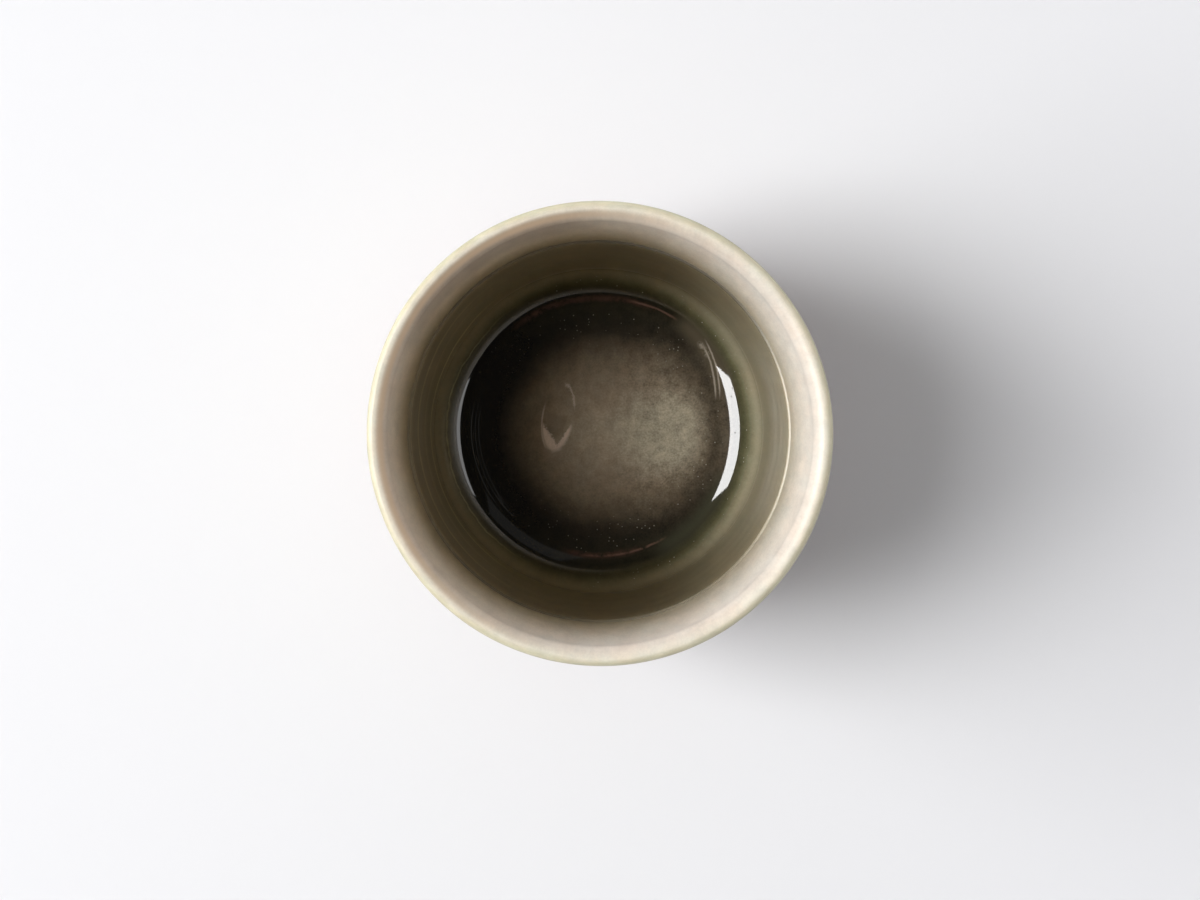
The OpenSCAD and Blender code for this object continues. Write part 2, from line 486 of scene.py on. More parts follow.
def material(name):
    made = bpy.data.materials.new(name)
    made.use_nodes = True
    made.node_tree.nodes.clear()
    return made, made.node_tree


def finish_material(tree, values):
    shader = add(tree, "ShaderNodeBsdfPrincipled", values)
    add(tree, "ShaderNodeOutputMaterial", {"Surface": shader.outputs[0]})


def mix(tree, factor, first, second, blend="MIX"):
    node = add(tree, "ShaderNodeMix", {"Factor": factor, "A": first, "B": second},
               data_type="RGBA", blend_type=blend)
    return node.outputs["Result"]


def cloud(tree, vector, scale, detail=2.0, rough=0.5):
    return add(tree, "ShaderNodeTexNoise", {"Vector": vector, "Scale": scale, "Detail": detail,
                                            "Roughness": rough}).outputs[0]


def object_place(tree):
    return add(tree, "ShaderNodeTexCoord").outputs["Object"]


def along_piece(tree):
    return add(tree, "ShaderNodeAttribute", attribute_name="along").outputs["Fac"]


def ramp(tree, factor, stops, length):
    """A colour ramp whose stops are given in metres along a stretch of that length."""
    node = add(tree, "ShaderNodeValToRGB", {"Fac": calc(tree, "DIVIDE", factor, length)})
    elements = node.color_ramp.elements
    while len(elements) < len(stops):
        elements.new(1.0)
    for element, (place, colour) in zip(elements, stops):
        element.position = place / length
        element.color = (*colour, 1)
    return node.outputs["Color"]


# Distances along the section, from the middle of the floor, over the lip and down the outside
S_CORNER = FLOOR_EDGE + math.radians(DISH_SLOPE) * (DISH_ROUND - INNER_T)
S_WALL = S_CORNER + math.radians(INNER_A + 90 - DISH_SLOPE) * (CORNER_ROUND - INNER_T)
S_JOIN = S_WALL + np.linalg.norm(inner_join(INNER_T) - inner_foot(INNER_T))
S_LIP = S_JOIN + RIM_DIP_IN
S_CREST = S_LIP + math.radians(90 + INNER_A) * (LIP_IN + RIM_T)
S_OUT = S_CREST + math.radians(90 - OUTER_A) * (LIP_OUT + RIM_T)
S_OUT_JOIN = S_OUT + RIM_DIP_OUT
# A little more than the outside glaze runs down from the join
OUTSIDE_RUN = 62 * MM
S_END = S_OUT_JOIN + OUTSIDE_RUN

# Noise in the glaze: scale, detail and roughness
WANDER_NOISE = (180.0, 3.0, 0.6)
SPREAD_NOISE = (480.0, 6.0, 0.72)
GRAIN_NOISE = (2600.0, 2.0)
WARMTH_NOISE = (200.0, 4.0, 0.6)
PEEL_NOISE = (210.0, 1.0)
FINE_PEEL_NOISE = (900.0, 1.0)
RUN_NOISE = (1.0, 3.0)
RUNS_AROUND = 12.0
RUNS_ALONG = 110.0
PEEL_DEPTH = 0.2 * MM
WARM_TINT = (1.04, 0.99, 0.965, 1)


def scaled(tree, vector, factor):
    return add(tree, "ShaderNodeVectorMath", {0: vector, "Scale": factor}, operation="SCALE").outputs[0]


def length_of(tree, vector):
    return add(tree, "ShaderNodeVectorMath", {0: vector}, operation="LENGTH").outputs["Value"]


def dot(tree, first, second):
    return add(tree, "ShaderNodeVectorMath", {0: first, 1: second},
               operation="DOT_PRODUCT").outputs["Value"]


def level(tree, vector):
    """A vector without its height."""
    return add(tree, "ShaderNodeVectorMath", {0: vector, 1: (1, 1, 0)}, operation="MULTIPLY").outputs[0]


def around_axis(tree, where):
    """The direction from the axis to a place, as a level vector of length 1."""
    return add(tree, "ShaderNodeVectorMath", {0: level(tree, where)}, operation="NORMALIZE").outputs[0]


def facing(tree, around, angle):
    """1 where the cup's side lies at that angle about the axis, and -1 on the far side."""
    side = (math.cos(math.radians(angle)), math.sin(math.radians(angle)), 0)
    return dot(tree, around, side)


def centred(tree, value):
    return calc(tree, "SUBTRACT", value, 0.5)


def glaze_flow_group():
    """How melted glaze moves: a wandering place along the wall, mottling, runs, warmth and peel."""
    tree = bpy.data.node_groups.new("glaze_flow", "ShaderNodeTree")
    given = sockets(tree, (("Along", "Float"), ("Wander", "Float"), ("Mottle", "Float"),
                           ("Height Scale", "Float")),
                    (("Along", "Float"), ("Shade", "Float"), ("Warmth", "Float"), ("Peel", "Float")))
    where = object_place(tree)
    scale = add(tree, "ShaderNodeCombineXYZ",
                {"X": 1.0, "Y": 1.0, "Z": given["Height Scale"]}).outputs[0]
    drawn = add(tree, "ShaderNodeVectorMath", {0: where, 1: scale}, operation="MULTIPLY").outputs[0]
    wander = centred(tree, cloud(tree, drawn, *WANDER_NOISE))
    shifted = calc(tree, "MULTIPLY_ADD", wander, given["Wander"], given["Along"])

    # Runs are narrow around the wall and long down it
    turn = split(tree, scaled(tree, around_axis(tree, where), RUNS_AROUND))
    runs_at = add(tree, "ShaderNodeCombineXYZ", {
        "X": turn["X"], "Y": turn["Y"], "Z": times(tree, given["Along"], RUNS_ALONG)}).outputs[0]
    runs = times(tree, centred(tree, cloud(tree, runs_at, *RUN_NOISE)),
                 fade(tree, given["Along"], S_WALL - 8 * MM, S_WALL + 4 * MM))
    spread = centred(tree, cloud(tree, drawn, *SPREAD_NOISE))
    grain = centred(tree, cloud(tree, drawn, *GRAIN_NOISE))
    shade = calc(tree, "MULTIPLY_ADD", runs, 0.7, spread)
    shade = calc(tree, "MULTIPLY_ADD", grain, 0.5, shade)
    shade = calc(tree, "MULTIPLY_ADD", shade, given["Mottle"], 1.0)
    warmth = fade(tree, cloud(tree, drawn, *WARMTH_NOISE), 0.32, 0.68)
    peel = calc(tree, "MULTIPLY_ADD", cloud(tree, where, *FINE_PEEL_NOISE), 0.25,
                cloud(tree, where, *PEEL_NOISE))
    add(tree, "NodeGroupOutput", {"Along": shifted, "Shade": shade, "Warmth": warmth, "Peel": peel})
    return tree


GLAZE_FLOW = glaze_flow_group()


def glaze_colour(tree, along, wander, mottle, height_scale, stops):
    """The colour of a coat whose stops are given along the section, and the flow that it follows."""
    flow = add(tree, "ShaderNodeGroup", {"Along": along, "Wander": wander, "Mottle": mottle,
                                         "Height Scale": height_scale}, node_tree=GLAZE_FLOW).outputs
    colour = ramp(tree, flow["Along"], stops, S_END)
    return mix(tree, flow["Warmth"], scaled(tree, colour, flow["Shade"]), WARM_TINT, "MULTIPLY"), flow


def peel_bump(tree, height, strength):
    return add(tree, "ShaderNodeBump", {"Height": height, "Strength": strength,
                                        "Distance": PEEL_DEPTH}).outputs[0]


def toward(tree, around, angle, spread):
    """A soft mask of the side of the cup at an angle about the axis."""
    return fade(tree, facing(tree, around, angle), math.cos(math.radians(spread)),
                math.cos(math.radians(0.5 * spread)))


def near(tree, value, middle, reach):
    """1 at the middle, and 0 from the reach on."""
    return fade(tree, calc(tree, "ABSOLUTE", calc(tree, "SUBTRACT", value, middle)), reach, 0.0)


# Colours of the coats at distances along the section
LINING_STOPS = (
    (0.0, (0.435, 0.37, 0.282)),
    (4.0 * MM, (0.385, 0.326, 0.249)),
    (8.0 * MM, (0.335, 0.279, 0.211)),
    (12.0 * MM, (0.265, 0.218, 0.159)),
    (16.0 * MM, (0.168, 0.137, 0.097)),
    (20.0 * MM, (0.050, 0.041, 0.028)),
    (22.0 * MM, (0.038, 0.033, 0.022)),
    (27.0 * MM, (0.042, 0.038, 0.021)),
    (29.0 * MM, (0.11, 0.11, 0.058)),
    (30.0 * MM, (0.22, 0.215, 0.125)),
    (31.0 * MM, (0.38, 0.36, 0.235)),
    (32.5 * MM, (0.56, 0.52, 0.36)),
    (36.0 * MM, (0.53, 0.49, 0.345)),
    (44.0 * MM, (0.50, 0.46, 0.315)),
    (50.0 * MM, (0.53, 0.48, 0.335)),
    (56.0 * MM, (0.50, 0.455, 0.31)),
    (64.0 * MM, (0.46, 0.415, 0.28)),
    (70.0 * MM, (0.50, 0.45, 0.305)),
    (S_JOIN, (0.58, 0.525, 0.375)),
)
LIP_STOPS = (
    (71.0 * MM, (0.40, 0.36, 0.255)),
    (75.0 * MM, (0.53, 0.48, 0.355)),
    (80.0 * MM, (0.70, 0.64, 0.50)),
    (86.0 * MM, (0.83, 0.775, 0.655)),
    (94.0 * MM, (0.84, 0.79, 0.69)),
    (103.0 * MM, (0.75, 0.705, 0.63)),
    (105.5 * MM, (0.63, 0.585, 0.52)),
    (106.8 * MM, (0.60, 0.54, 0.455)),
    (108.0 * MM, (0.78, 0.73, 0.615)),
    (108.8 * MM, (0.64, 0.605, 0.435)),
    (109.4 * MM, (0.44, 0.415, 0.28)),
    (113.0 * MM, (0.47, 0.44, 0.305)),
    (118.0 * MM, (0.47, 0.435, 0.30)),
    (S_OUT_JOIN, (0.43, 0.395, 0.268)),
)
OUTSIDE_STOPS = (
    (S_OUT_JOIN, (0.43, 0.395, 0.268)),
    (140.0 * MM, (0.385, 0.355, 0.235)),
    (165.0 * MM, (0.37, 0.34, 0.222)),
    (178.0 * MM, (0.33, 0.31, 0.195)),
    (S_END, (0.20, 0.195, 0.115)),
)


# Marks in the dark glaze. A side of the cup is an angle about the axis and a spread, both in degrees.
# The paler patch on the floor lies on the side where the light falls: painted light.
LIT_PATCH_TURN = 0
LIT_PATCH_AT = (14.8 * MM, -1 * MM, 0)
LIT_PATCH_STRETCH = (1, 0.70, 1)
LIT_PATCH_TONE = (0.475, 0.428, 0.328)
# Painted shade on the side of the wall away from the light, a little browner.
SHADED_SIDE_TINT = (0.535, 0.495, 0.44, 1)
# Ridge lines, partly thinner glaze and partly painted glints of light on one side: place along and half
# width in millimetres, and strength
RIDGES = ((30.3, 0.3, 0.8), (38.6, 1.2, 0.8), (49, 1.4, 0.25), (60, 1.5, 0.6), (72, 1.5, 0.3))
RIDGE_GLINT_SIDE = (184, 62)
RIDGE_GLINT_TINT = (2.4, 2.6, 2.9, 1)
SPECK_CELLS = 1250.0
SPECK_TONE = (0.64, 0.60, 0.50, 1)
BROKEN_NOISE = (420.0, 4.0, 0.7)
FORK_NOISE = (1400.0, 3.0, 0.7)
HAZE_SIDES = ((98, 36), (272, 20))
HAZE_TONE = (0.135, 0.07, 0.052, 1)
BROWN_SIDES = ((34, 24, (0.16, 0.133, 0.089, 1)), (318, 28, (0.082, 0.08, 0.05, 1)))
IRON_SIDES = ((65, 12), (282, 22))
IRON_TONE = (0.28, 0.16, 0.118, 1)
THREAD_SIDE = (27, 14)
FORK_SIDE = (37, 4.5)
THREAD_TONE = (0.56, 0.49, 0.40, 1)
SCAR_AT = (-7.9 * MM, 2.2 * MM, 0)
SCAR_TILT = math.radians(-9)
SCAR_SIZE = (3.1 * MM, 6.9 * MM, 1)
SCAR_NOISE = (1500.0, 3.0, 0.7)
SCAR_MIDDLE_TONE = (0.20, 0.165, 0.125, 1)
SCAR_TAIL_TONE = (0.46, 0.36, 0.29, 1)
SCAR_TONE = (0.86, 0.70, 0.60, 1)


def pool_colour(tree, where, around, along):
    """The colours of the floor, corner and wall. On the side where the light falls the dark pool is
    narrower and the floor has a paler patch, both painted light. The pool reaches higher where the corner
    leans in."""
    in_pool = fade(tree, along, 28.2 * MM, 26.4 * MM)
    # On the lit side the pale floor reaches further out and the dark edge moves outwards: painted light.
    lit_floor_shift = times(tree, fade(tree, facing(tree, around, LIT_PATCH_TURN), 0.1, 1.1),
                        fade(tree, along, 6 * MM, 15 * MM), in_pool, 5 * MM)
    lit_edge_shift = times(tree, fade(tree, facing(tree, around, 8), 0.70, 0.95),
                       fade(tree, along, 23 * MM, 26 * MM), in_pool, 3.2 * MM)
    corner_shift = times(tree, fade(tree, facing(tree, around, LEAN_TURN), *LEAN_COSINES),
                         fade(tree, along, 26 * MM, 28 * MM), fade(tree, along, 42 * MM, 33 * MM), 0.9 * MM)
    shift = calc(tree, "ADD", calc(tree, "ADD", lit_floor_shift, lit_edge_shift), corner_shift)
    shifted = calc(tree, "SUBTRACT", along, shift)
    wander = fade(tree, along, 14 * MM, 26 * MM, 4 * MM, 1.2 * MM)
    blotchy = times(tree, fade(tree, split(tree, where)["X"], 0.0, 14 * MM), in_pool)
    mottle = calc(tree, "MULTIPLY_ADD", blotchy, 0.8, fade(tree, along, 26 * MM, 34 * MM, 0.95, 0.3))
    colour, flow = glaze_colour(tree, shifted, wander, mottle, 0.16, LINING_STOPS)
    # The paler patch on the lit side of the floor is painted light, over the floor's own mottling.
    from_lit_patch = add(tree, "ShaderNodeMapping", {"Vector": where, "Location": LIT_PATCH_AT,
                                                 "Scale": LIT_PATCH_STRETCH}, vector_type="TEXTURE").outputs[0]
    from_lit_patch = length_of(tree, level(tree, from_lit_patch))
    from_lit_patch = calc(tree, "MULTIPLY_ADD", centred(tree, flow["Shade"]), -3 * MM, from_lit_patch)
    patch = times(tree, fade(tree, from_lit_patch, 15 * MM, 3 * MM), fade(tree, shifted, 18.5 * MM, 11.5 * MM))
    return mix(tree, patch, colour, scaled(tree, LIT_PATCH_TONE, flow["Shade"])), flow


def shaded_wall(tree, around, along, colour):
    """Painted shade: the wall is darker and browner on the side away from the light, and its rolled upper
    edge is darkened where it catches the light. The pool is painted darker on that far side."""
    # Painted shade: darker and browner on the side away from the light.
    away = times(tree, fade(tree, facing(tree, around, LIT_PATCH_TURN), 1.05, 0.3),
                 fade(tree, along, 25 * MM, 28 * MM),
                 fade(tree, along, S_JOIN - 1 * MM, S_JOIN - 6 * MM, 0.7, 1.0))
    colour = mix(tree, away, colour, SHADED_SIDE_TINT, "MULTIPLY")
    # Painted shade on the rolled upper edge, darkened all round and most at the top, the bottom and the
    # upper right, where it catches light.
    across = calc(tree, "ABSOLUTE", facing(tree, around, 90))
    ledge_shade_keep = times(tree, fade(tree, across, 0.3, 0.8, 0.8, 0.55),
                      fade(tree, facing(tree, around, 58), 0.7, 0.97, 1.0, 0.5))
    edge = times(tree, fade(tree, along, S_JOIN - 0.6 * MM, S_JOIN - 0.3 * MM),
                 calc(tree, "SUBTRACT", 1.0, ledge_shade_keep))
    # Painted shade on the pool, on the side away from the light.
    painted_pool_shade = times(tree, fade(tree, facing(tree, around, LIT_PATCH_TURN + 180), 0.0, 0.9),
                 fade(tree, along, 13 * MM, 20 * MM), fade(tree, along, 31 * MM, 28 * MM), 0.6)
    return scaled(tree, colour, calc(tree, "SUBTRACT", 1.0, most(tree, edge, painted_pool_shade)))


def ridge_glint_lines(tree, around, along, warmth, colour):
    """Thin pale lines on the ridges of one side of the wall: partly thinner glaze, partly painted glints of
    the light they catch.
    """
    wavy = calc(tree, "MULTIPLY_ADD", centred(tree, warmth), 0.5 * MM, along)
    side = toward(tree, around, *RIDGE_GLINT_SIDE)
    for place, reach, share in RIDGES:
        ridge_glint = times(tree, near(tree, wavy, place * MM, reach * MM), side, share)
        colour = mix(tree, ridge_glint, colour, RIDGE_GLINT_TINT, "MULTIPLY")
    return colour


def specks_and_pits(tree, where, along, colour):
    """Pale specks in the dark ring, and the mask of the pits."""
    cells = add(tree, "ShaderNodeTexVoronoi", {"Vector": where, "Scale": SPECK_CELLS}).outputs
    chances = add(tree, "ShaderNodeSeparateColor", {0: cells["Color"]}).outputs
    dots = fade(tree, cells["Distance"], 0.2, 0.1)
    off_corner = most(tree, fade(tree, along, 25 * MM, 24 * MM), fade(tree, along, 28.4 * MM, 29.4 * MM))
    specks = times(tree, dots, calc(tree, "GREATER_THAN", chances[0], 0.62), off_corner,
                   fade(tree, along, 15 * MM, 22 * MM), fade(tree, along, 35 * MM, 30 * MM),
                   fade(tree, split(tree, where)["X"], -22 * MM, 6 * MM), chances[2], 0.95)
    pits = times(tree, dots, calc(tree, "GREATER_THAN", chances[1], 0.93),
                 fade(tree, along, 22 * MM, 24 * MM))
    return mix(tree, specks, colour, SPECK_TONE), pits


def iron_and_threads(tree, where, around, along, colour):
    """Iron shows where the glaze breaks at the edge of the pool. Two pale threads run inwards round
    that edge, from a small fork."""
    broken = cloud(tree, where, *BROKEN_NOISE)
    uneven = centred(tree, broken)
    off_axis = fade(tree, split(tree, where)["Y"], 24 * MM, -10 * MM, -0.7 * MM, 0.9 * MM)
    edge = calc(tree, "ADD", calc(tree, "MULTIPLY_ADD", uneven, 1.4 * MM, along), off_axis)
    haze_sides = most(tree, *(toward(tree, around, *side) for side in HAZE_SIDES))
    haze = times(tree, near(tree, edge, 26.1 * MM, 1.0 * MM), haze_sides,
                 fade(tree, broken, 0.24, 0.56), 0.8)
    colour = mix(tree, haze, colour, HAZE_TONE)
    for angle, spread, tone in BROWN_SIDES:
        brown = times(tree, near(tree, along, 26.8 * MM, 3.2 * MM),
                      toward(tree, around, angle, spread), 0.8)
        colour = mix(tree, brown, colour, tone)
    steadier = calc(tree, "MULTIPLY_ADD", uneven, -0.9 * MM, edge)
    iron_sides = most(tree, *(toward(tree, around, *side) for side in IRON_SIDES))
    iron = times(tree, near(tree, steadier, 26.15 * MM, 0.36 * MM), iron_sides,
                 fade(tree, broken, 0.3, 0.5), 0.75)
    colour = mix(tree, iron, colour, IRON_TONE)

    slant = calc(tree, "MULTIPLY_ADD", facing(tree, around, 115), -4.9 * MM, steadier)
    threads = most(tree, near(tree, slant, 25.1 * MM, 0.30 * MM), near(tree, slant, 25.95 * MM, 0.26 * MM))
    threads = times(tree, threads, toward(tree, around, *THREAD_SIDE))
    fork = times(tree, near(tree, steadier, 25.9 * MM, 0.9 * MM), toward(tree, around, *FORK_SIDE),
                 fade(tree, cloud(tree, where, *FORK_NOISE), 0.42, 0.58), 0.7)
    return mix(tree, times(tree, most(tree, threads, fork), 0.85), colour, THREAD_TONE)


def scar(tree, where, along, colour):
    """The scar is an oval: a pale mouth at its lower end, a thin rim and a smooth darker middle."""
    placed = add(tree, "ShaderNodeMapping", {
        "Vector": where, "Location": SCAR_AT, "Rotation": (0, 0, SCAR_TILT), "Scale": SCAR_SIZE},
        vector_type="TEXTURE").outputs[0]
    part = split(tree, placed)
    ragged = times(tree, centred(tree, cloud(tree, where, *SCAR_NOISE)), 0.5)
    flat = level(tree, placed)
    reach = length_of(tree, flat)
    core = add(tree, "ShaderNodeMapping", {"Vector": flat, "Location": (-0.06, 0.34, 0),
                                           "Scale": (0.74, 1.0, 1)}, vector_type="TEXTURE").outputs[0]
    on_floor = fade(tree, along, 20 * MM, 17 * MM)
    left_arm = calc(tree, "MULTIPLY_ADD", part["X"], -0.48, 0.11)
    right_arm = calc(tree, "SUBTRACT", part["X"], 0.23)
    over = calc(tree, "SUBTRACT", calc(tree, "ADD", part["Y"], 0.78), most(tree, left_arm, right_arm))
    over = calc(tree, "ADD", over, times(tree, ragged, 0.8))
    mouth = times(tree, fade(tree, calc(tree, "MULTIPLY_ADD", ragged, 0.4, reach), 1.06, 0.86),
                  fade(tree, over, 0.06, -0.06), fade(tree, part["Y"], 0.0, -0.35))
    tail = times(tree, fade(tree, reach, 1.5, 0.9), fade(tree, part["Y"], -0.5, -0.9),
                 fade(tree, part["X"], -0.75, -0.5))
    left_rim = times(tree, near(tree, reach, 1.0, 0.09), fade(tree, part["X"], -0.3, -0.7),
                     fade(tree, part["Y"], 0.5, 0.0))
    hook = times(tree, near(tree, calc(tree, "MULTIPLY_ADD", ragged, 0.6, reach), 1.0, 0.09),
                 fade(tree, part["X"], 0.0, 0.3), fade(tree, part["Y"], 0.25, 0.5))
    middle = times(tree, fade(tree, length_of(tree, core), 1.0, 0.85), fade(tree, part["Y"], 0.15, 0.0))
    colour = mix(tree, times(tree, middle, on_floor, 0.35), colour, SCAR_MIDDLE_TONE)
    colour = mix(tree, times(tree, tail, on_floor, 0.3), colour, SCAR_TAIL_TONE)
    pale = most(tree, mouth, most(tree, times(tree, left_rim, 0.6), times(tree, hook, 0.6)))
    pale = times(tree, pale, on_floor, calc(tree, "MULTIPLY_ADD", ragged, 1.6, 0.85))
    return mix(tree, pale, colour, SCAR_TONE)


def lining_material():
    """The dark glaze: a pale floor in a dark pool, with pale specks, iron lines and a scar, painted light
    on its lit side and painted shade on its far side.
    """
    made, tree = material("dark_glaze")
    where = object_place(tree)
    around = around_axis(tree, where)
    along = along_piece(tree)
    colour, flow = pool_colour(tree, where, around, along)
    colour = shaded_wall(tree, around, along, colour)
    colour = ridge_glint_lines(tree, around, along, flow["Warmth"], colour)
    colour, pits = specks_and_pits(tree, where, along, colour)
    colour = iron_and_threads(tree, where, around, along, colour)
    colour = scar(tree, where, along, colour)

    # The glaze is drier up the wall, and on the rolled edge away from the patch
    dry_edge = times(tree, fade(tree, along, S_JOIN - 0.9 * MM, S_JOIN - 0.5 * MM),
                     fade(tree, facing(tree, around, LIT_PATCH_TURN), 0.7, 0.3), 0.3)
    rough = calc(tree, "ADD", dry_edge, fade(tree, along, S_WALL - 6.5 * MM, S_WALL + 1 * MM, 0.04, 0.34))
    peel = times(tree, flow["Peel"], fade(tree, along, S_CORNER + 2 * MM, S_CORNER - 2 * MM), 0.02)
    height = calc(tree, "MULTIPLY_ADD", pits, -0.12, peel)
    finish_material(tree, {"Base Color": colour, "Roughness": rough, "IOR": 1.55,
                           "Normal": peel_bump(tree, height, 1.0)})
    return made


# Marks in the pale glaze
LIT_TURN = -20
SHADED_LIP_TINT = (0.78, 0.72, 0.645, 1)
# Painted shade on the lip's inner face on one side, away from the light.
SHADED_INNER_SIDE = (124, 38)
SHADED_INNER_TINT = (0.72, 0.70, 0.69, 1)
# A tan line at the lip's inner edge: tan colour, with painted shade on the side away from the light.
TAN_SHADE_TURN = 158
TAN_SHADE_TONE = (0.52, 0.37, 0.235, 1)


def lip_material():
    """The pale glaze: satin, with an uneven lower edge that reaches lower on the lit side, painted light,
    and a cream lip with painted shade on its inner face away from the light.
    """
    made, tree = material("pale_glaze")
    around = around_axis(tree, object_place(tree))
    along = along_piece(tree)
    side = facing(tree, around, LIT_TURN)
    below = fade(tree, along, S_LIP - 4 * MM, S_LIP - 16 * MM)
    # On the lit side the pale band reaches lower down the wall: painted light.
    lower = times(tree, fade(tree, side, -0.7, 0.9, -2 * MM, 3 * MM), below)
    wander = fade(tree, along, S_LIP - 10 * MM, S_LIP, 7 * MM, 1.2 * MM)
    outside = fade(tree, along, S_OUT - 2 * MM, S_OUT + 2 * MM)
    mottle = calc(tree, "MULTIPLY_ADD", outside, -0.1, 0.4)
    drawn = calc(tree, "MULTIPLY_ADD", outside, 0.22, 0.24)
    colour, flow = glaze_colour(tree, calc(tree, "ADD", along, lower), wander, mottle, drawn, LIP_STOPS)
    inside = fade(tree, along, S_LIP + 3.4 * MM, S_LIP + 2.4 * MM)
    shaded = times(tree, fade(tree, side, 0.5, -0.6), inside)
    colour = mix(tree, shaded, colour, SHADED_LIP_TINT, "MULTIPLY")
    # Painted shade on the lip's inner face on one side, away from the light.
    hollow = times(tree, toward(tree, around, *SHADED_INNER_SIDE), fade(tree, along, 88 * MM, 97 * MM), inside)
    colour = mix(tree, hollow, colour, SHADED_INNER_TINT, "MULTIPLY")
    # A tan line at the lip's inner edge, darker on the side away from the light: tan colour with painted
    # shade.
    tan_and_shade = times(tree, near(tree, along, 107.0 * MM, 1.1 * MM),
                fade(tree, facing(tree, around, TAN_SHADE_TURN), 0.0, 0.8), 0.8)
    colour = mix(tree, tan_and_shade, colour, TAN_SHADE_TONE)
    rough = calc(tree, "MULTIPLY_ADD", outside, -0.12, 0.42)
    finish_material(tree, {"Base Color": colour, "Roughness": rough, "IOR": 1.5,
                           "Normal": peel_bump(tree, flow["Peel"], 0.05)})
    return made


def outside_material():
    """The glaze outside: olive-cream with runs, darker where it rolls over its lower edge."""
    made, tree = material("outside_glaze")
    colour, flow = glaze_colour(tree, along_piece(tree), 9 * MM, 0.3, 0.46, OUTSIDE_STOPS)
    rough = fade(tree, flow["Warmth"], 0.0, 1.0, 0.28, 0.33)
    finish_material(tree, {"Base Color": colour, "Roughness": rough, "IOR": 1.52,
                           "Normal": peel_bump(tree, flow["Peel"], 0.05)})
    return made


def clay_grain_group():
    """Fired clay: its cloudy tone, pale grains of grog, iron specks and a sandy height."""
    tree = bpy.data.node_groups.new("clay_grain", "ShaderNodeTree")
    sockets(tree, (), (("Tone", "Float"), ("Grog", "Float"), ("Iron", "Float"), ("Height", "Float")))
    where = object_place(tree)
    tone = cloud(tree, where, 160.0, 6.0, 0.65)
    grains = add(tree, "ShaderNodeTexVoronoi", {"Vector": where, "Scale": 1150.0}).outputs
    chance = add(tree, "ShaderNodeSeparateColor", {0: grains["Color"]}).outputs
    dots = fade(tree, calc(tree, "MULTIPLY_ADD", chance[2], 0.2, grains["Distance"]), 0.42, 0.2)
    grog = times(tree, dots, fade(tree, chance[0], 0.75, 0.95))
    iron = times(tree, dots, fade(tree, chance[1], 0.88, 0.96))
    sand = cloud(tree, where, 2400.0, 3.0, 0.7)
    height = calc(tree, "MULTIPLY_ADD", grog, 0.6, sand)
    add(tree, "NodeGroupOutput", {"Tone": fade(tree, tone, 0.3, 0.7), "Grog": grog, "Iron": iron,
                                  "Height": height})
    return tree


CLAY_GRAIN = clay_grain_group()
TOAST_TONE = (0.37, 0.175, 0.085, 1)
GROG_TONE = (0.46, 0.36, 0.26, 1)
SPOT_TONE = (0.06, 0.038, 0.027, 1)


def clay_material(name, dark, light, rough):
    """Bare clay, toasted orange where it meets the glaze."""
    made, tree = material(name)
    grain = add(tree, "ShaderNodeGroup", node_tree=CLAY_GRAIN).outputs
    height = split(tree, object_place(tree))["Z"]
    colour = mix(tree, grain["Tone"], (*dark, 1), (*light, 1))
    toast = fade(tree, height, GLAZE_LINE[1] - 5 * MM, GLAZE_LINE[1] + 0.5 * MM)
    colour = mix(tree, times(tree, toast, 0.6), colour, TOAST_TONE)
    colour = mix(tree, times(tree, grain["Grog"], 0.45), colour, GROG_TONE)
    colour = mix(tree, times(tree, grain["Iron"], 0.7), colour, SPOT_TONE)
    finish_material(tree, {"Base Color": colour, "Roughness": rough,
                           "Normal": peel_bump(tree, grain["Height"], 0.5)})
    return made


DARK_GLAZE = lining_material()
PALE_GLAZE = lip_material()
OUTSIDE_GLAZE = outside_material()
CLAY = clay_material("bare_clay", (0.22, 0.138, 0.09), (0.31, 0.20, 0.13), 0.85)
FOOT_CLAY = clay_material("foot_clay", (0.19, 0.117, 0.075), (0.27, 0.172, 0.112), 0.7)
SLIP = clay_material("fired_slip", (0.25, 0.16, 0.105), (0.35, 0.235, 0.158), 0.9)


# The pieces

def outside_rings(radius, height):
    """Throwing rings on the outside wall only."""
    return (smoothstep(36.5 * MM, 37.2 * MM, radius) * smoothstep(14 * MM, 22 * MM, height)
            * (1 - smoothstep(CUP_H - 10 * MM, CUP_H - 3 * MM, height)))


def inside_rings(radius, height):
    """Soft throwing rings up the inside wall, off its corner and its rolled upper edge."""
    return (smoothstep(inner_foot(0)[1] - 2 * MM, inner_foot(0)[1] + 8 * MM, height)
            * (1 - smoothstep(inner_join(0)[1] - 7 * MM, inner_join(0)[1] - 2 * MM, height)))


def turning_rings(radius, height):
    """Fine turning marks on the bare heel and the underside."""
    return (smoothstep(0.0, FOOT_EDGE, height) * smoothstep(1 * MM, 4 * MM, radius)
            * (1 - smoothstep(GLAZE_LINE[1] - 2 * MM, GLAZE_LINE[1], height)))


def drips(radius, height):
    """The share of the drift, which is full at the lower edge of the outside glaze."""
    return 1 - smoothstep(GLAZE_LINE[1], GLAZE_LINE[1] + 16 * MM, height)


def floor_bead(along):
    """A round bead at the edge of the floor."""
    away = np.clip(np.abs(along - BEAD_AT) / (BEAD_W / 2), 0, 1)
    return 0.5 + 0.5 * np.cos(math.pi * away)


def corner_lean(along):
    """The share of the lean, which is full from the dished edge to the upper part of the corner."""
    return (smoothstep(LEAN_START, FLOOR_EDGE, along)
            * (1 - smoothstep(S_WALL - 4 * MM, S_WALL + 10 * MM, along)))


